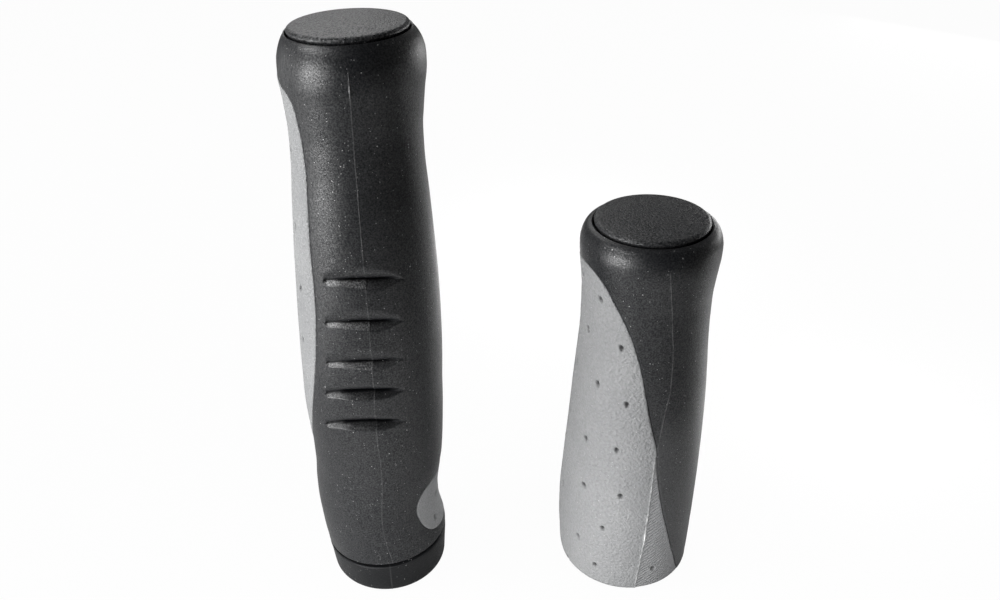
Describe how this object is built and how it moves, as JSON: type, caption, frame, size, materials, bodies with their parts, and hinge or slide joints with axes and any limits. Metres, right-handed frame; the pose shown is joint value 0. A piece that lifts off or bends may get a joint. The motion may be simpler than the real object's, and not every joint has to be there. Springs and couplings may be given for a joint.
{
  "type": "handlebar grip pair",
  "caption": "Pair of two-colour rubber handlebar grips, one full-length and one short, with finger grooves, grey palm panels, rigid inner sleeves and push-in end plugs.",
  "frame": {"origin": "bottom centre of the pair's bounding box, on the plane both grips stand on with their inner ends", "axes": "+Z along both bar bores from inner end to outer end, +X from the full-length grip to the short grip, -Y towards the finger side of the full-length grip and the palm side of the short one"},
  "size_m": [0.0942, 0.036, 0.1372],
  "materials": {
    "sleeve": "satin moulded black plastic",
    "black_rubber": "matte, very fine moulded grain",
    "grey_rubber": "matte, leather-like pebbled grain with small pits",
    "plug": "spark-eroded texture, slight sheen on the edge"
  },
  "bodies": {
    "long_grip": {"long_core_sleeve": "sleeve", "long_black_body": "black_rubber", "long_grey_panel": "grey_rubber"},
    "long_plug": {"long_end_plug": "plug"},
    "short_grip": {"short_core_sleeve": "sleeve", "short_black_body": "black_rubber", "short_grey_panel": "grey_rubber"},
    "short_plug": {"short_end_plug": "plug"}
  },
  "joints": [
    {"name": "long_plug_pull", "type": "slide", "parent": "long_grip", "child": "long_plug", "axis": [0, 0, 1], "range_m": [0, 0.022]},
    {"name": "short_grip_spacing", "type": "slide", "parent": "long_grip", "child": "short_grip", "axis": [1, 0, 0], "range_m": [0, 0.1]},
    {"name": "short_plug_pull", "type": "slide", "parent": "short_grip", "child": "short_plug", "axis": [0, 0, 1], "range_m": [0, 0.022]}
  ]
}
